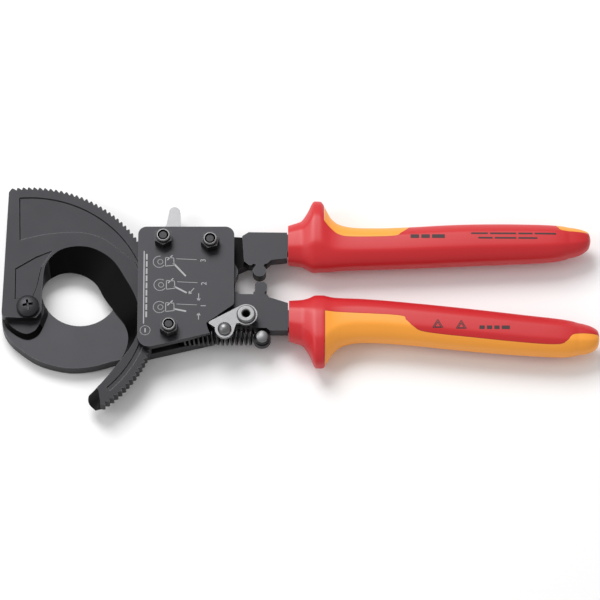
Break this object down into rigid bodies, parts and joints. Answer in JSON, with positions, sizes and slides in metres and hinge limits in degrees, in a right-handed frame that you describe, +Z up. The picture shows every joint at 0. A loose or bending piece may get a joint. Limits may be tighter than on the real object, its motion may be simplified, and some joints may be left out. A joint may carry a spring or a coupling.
{
  "type": "cable cutter",
  "caption": "Hand ratchet cable cutter: toothed hooked blade turning on a fixed jaw, driven by pawls from two offset moulded grips, with cover plate, return spring and handle lock.",
  "frame": {"origin": "centre of the object's box on the plane of its lowest faces, with the tool lying on its back", "axes": "+X from the jaw towards the ends of the grips, +Y towards the fixed (upper) grip, +Z up through the blade, cover and nuts, along every pivot"},
  "size_m": [0.2504, 0.1002, 0.0203],
  "materials": {
    "burnished_steel": "dark burnished, semi-matte",
    "black_steel": "black oxide",
    "blade_steel": "dark burnished with ground bevels",
    "bright_zinc": "bright zinc plate",
    "spring_steel": "drawn wire",
    "red_grip": "satin moulded",
    "yellow_grip": "satin moulded"
  },
  "bodies": {
    "frame": {"frame_and_jaw": "burnished_steel", "front_cover": "burnished_steel", "pivot_screw": "burnished_steel", "pivot_bush": "bright_zinc", "pivot_nut": "black_steel", "cover_bolt_lower": "black_steel", "cover_bolt_upper_left": "black_steel", "cover_bolt_upper_right": "black_steel", "cover_nut_lower": "black_steel", "cover_nut_upper_left": "black_steel", "cover_nut_upper_right": "black_steel", "release_lever_bush": "bright_zinc", "handle_bush": "bright_zinc", "lower_spacer": "bright_zinc", "release_spring_pin": "bright_zinc", "release_lever_spring": "spring_steel", "return_spring": "spring_steel", "fixed_grip_core": "yellow_grip", "fixed_grip_sleeve": "red_grip"},
    "blade": {"moving_blade": "blade_steel"},
    "moving_handle": {"moving_arm": "burnished_steel", "drive_pawl_pin": "bright_zinc", "drive_pawl_spring": "spring_steel", "spring_post": "bright_zinc", "lock_lever_spacer": "bright_zinc", "lock_lever_rivet": "bright_zinc", "moving_grip_core": "yellow_grip", "moving_grip_sleeve": "red_grip"},
    "drive_pawl": {"drive_pawl": "black_steel"},
    "release_lever": {"release_lever": "bright_zinc"},
    "lock_lever": {"lock_lever": "bright_zinc", "lock_lever_knob": "bright_zinc"}
  },
  "joints": [
    {"name": "blade_swing", "type": "hinge", "parent": "frame", "child": "blade", "pos_m": [-0.11419, -0.00511, 0], "axis": [0, 0, 1], "range_deg": [-72, 150]},
    {"name": "handle_squeeze", "type": "hinge", "parent": "frame", "child": "moving_handle", "pos_m": [-0.03789, 0.02249, 0], "axis": [0, 0, 1], "range_deg": [-18, 0], "deforming": ["return_spring"]},
    {"name": "drive_pawl_swing", "type": "hinge", "parent": "moving_handle", "child": "drive_pawl", "pos_m": [-0.04769, 0.01439, 0], "axis": [0, 0, 1], "range_deg": [0, 26.2], "deforming": ["drive_pawl_spring"]},
    {"name": "release_lever_swing", "type": "hinge", "parent": "frame", "child": "release_lever", "pos_m": [-0.05759, 0.02409, 0], "axis": [0, 0, 1], "range_deg": [0, 12], "stiffness_Nm_per_rad": 0.02, "deforming": ["release_lever_spring"]},
    {"name": "lock_lever_swing", "type": "hinge", "parent": "moving_handle", "child": "lock_lever", "pos_m": [-0.02269, -0.01091, 0], "axis": [0, 0, 1], "range_deg": [0, 40]}
  ],
  "couplings": [
    {"joint": "drive_pawl_swing", "follows": "handle_squeeze", "ratio": -1.45}
  ]
}
